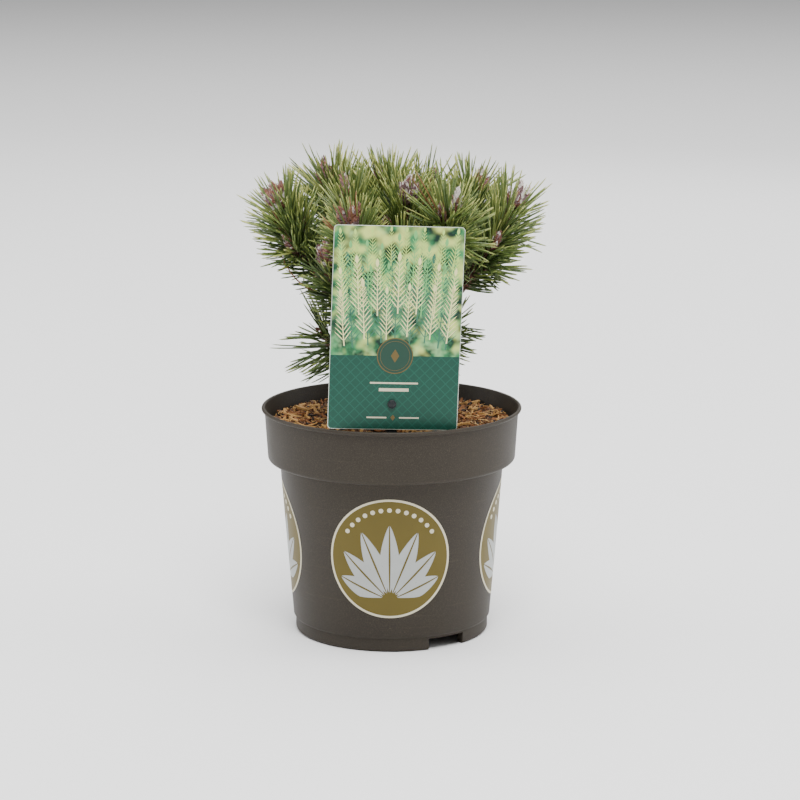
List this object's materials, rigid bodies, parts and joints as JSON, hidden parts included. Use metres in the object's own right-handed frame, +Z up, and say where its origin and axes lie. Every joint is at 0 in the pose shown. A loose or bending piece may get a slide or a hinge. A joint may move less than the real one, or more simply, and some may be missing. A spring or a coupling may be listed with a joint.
{
  "type": "potted mugo pine",
  "caption": "Young mugo pine with dense tufts of paired needles and winter buds, standing in a round collared nursery pot filled with bark mulch, with a plant label on a stake.",
  "frame": {"origin": "Centre of the pot's flat underside, on the foot in the middle of the floor.", "axes": "+Z up along the pot's axis, -Y towards the front where the plant label faces, +X to the right seen from the front."},
  "size_m": [0.2191, 0.2135, 0.3531],
  "materials": {
    "pot_plastic": "satin moulded plastic, warm taupe grey-brown",
    "bark_mulch": "shredded bark and wood fibre, rough",
    "label_sheet": "printed and coated stiff sheet",
    "stake_plastic": "dark grey moulded plastic",
    "bark": "scaly red-brown bark, rough",
    "foliage": "waxy green needles with brown buds"
  },
  "bodies": {
    "root": {"pot": "pot_plastic", "mulch": "bark_mulch", "label_card": "label_sheet", "label_stake": "stake_plastic", "trunk": "bark", "bough_left": "bark", "bough_right": "bark", "bough_back": "bark", "bough_front": "bark", "bough_back_left": "bark", "bough_front_left": "bark", "bough_front_right": "bark", "bough_back_right": "bark", "bough_low_left": "bark", "bough_far_back": "bark", "bough_inner_back": "bark", "bough_inner_left": "bark", "needles_left": "foliage", "needles_right": "foliage", "needles_back": "foliage", "needles_front": "foliage", "needles_back_left": "foliage", "needles_front_left": "foliage", "needles_front_right": "foliage", "needles_back_right": "foliage", "needles_low_left": "foliage", "needles_far_back": "foliage", "needles_inner_back": "foliage", "needles_inner_left": "foliage", "needles_leader": "foliage", "needles_sprig_left": "foliage", "needles_sprig_right": "foliage", "needles_sprig_back": "foliage"}
  },
  "joints": []
}
